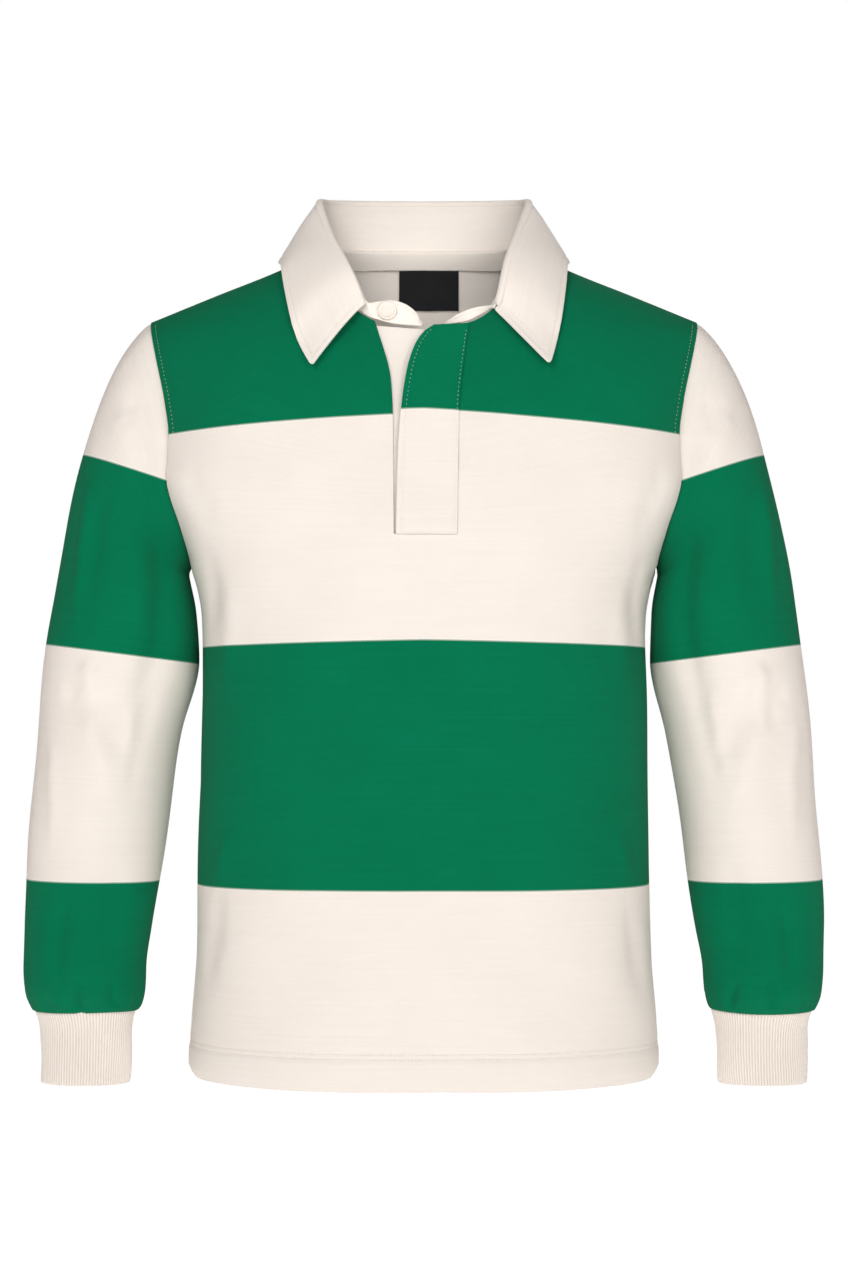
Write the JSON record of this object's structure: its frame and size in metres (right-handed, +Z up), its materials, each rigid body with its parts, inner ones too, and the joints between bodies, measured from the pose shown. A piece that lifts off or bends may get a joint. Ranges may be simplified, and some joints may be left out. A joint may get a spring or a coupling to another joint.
{
  "type": "long-sleeved rugby shirt",
  "caption": "Hooped long-sleeved rugby shirt, filled out and hollow, with a twill collar, open placket and ribbed cuffs.",
  "frame": {"origin": "midway between the two high shoulder points, where the collar's neck seam meets the shoulder seams; the wearer holds the shirt up there", "axes": "+Z up, from the hem to the collar; -Y is the front and +Y the back; +X is the wearer's left"},
  "size_m": [0.6956, 0.2313, 0.7773],
  "materials": {
    "jersey_striped": "heavy cotton jersey, matte, wide green and cream hoops",
    "jersey_cream": "cotton jersey, matte, cream",
    "rib_cream": "rib knit, matte, cream",
    "twill_cream": "cotton twill, matte, cream",
    "label_black": "woven satin label, black, plain",
    "button_cream": "satin cream"
  },
  "bodies": {
    "root": {"front": "jersey_striped", "back": "jersey_striped", "sleeve_right": "jersey_striped", "sleeve_left": "jersey_striped", "placket_top": "jersey_striped", "placket_under": "jersey_cream", "cuff_right": "rib_cream", "cuff_left": "rib_cream", "collar_stand": "twill_cream", "collar_fall": "twill_cream", "neck_tape": "twill_cream", "back_facing": "jersey_cream", "neck_label": "label_black", "stand_button": "button_cream"}
  },
  "joints": []
}
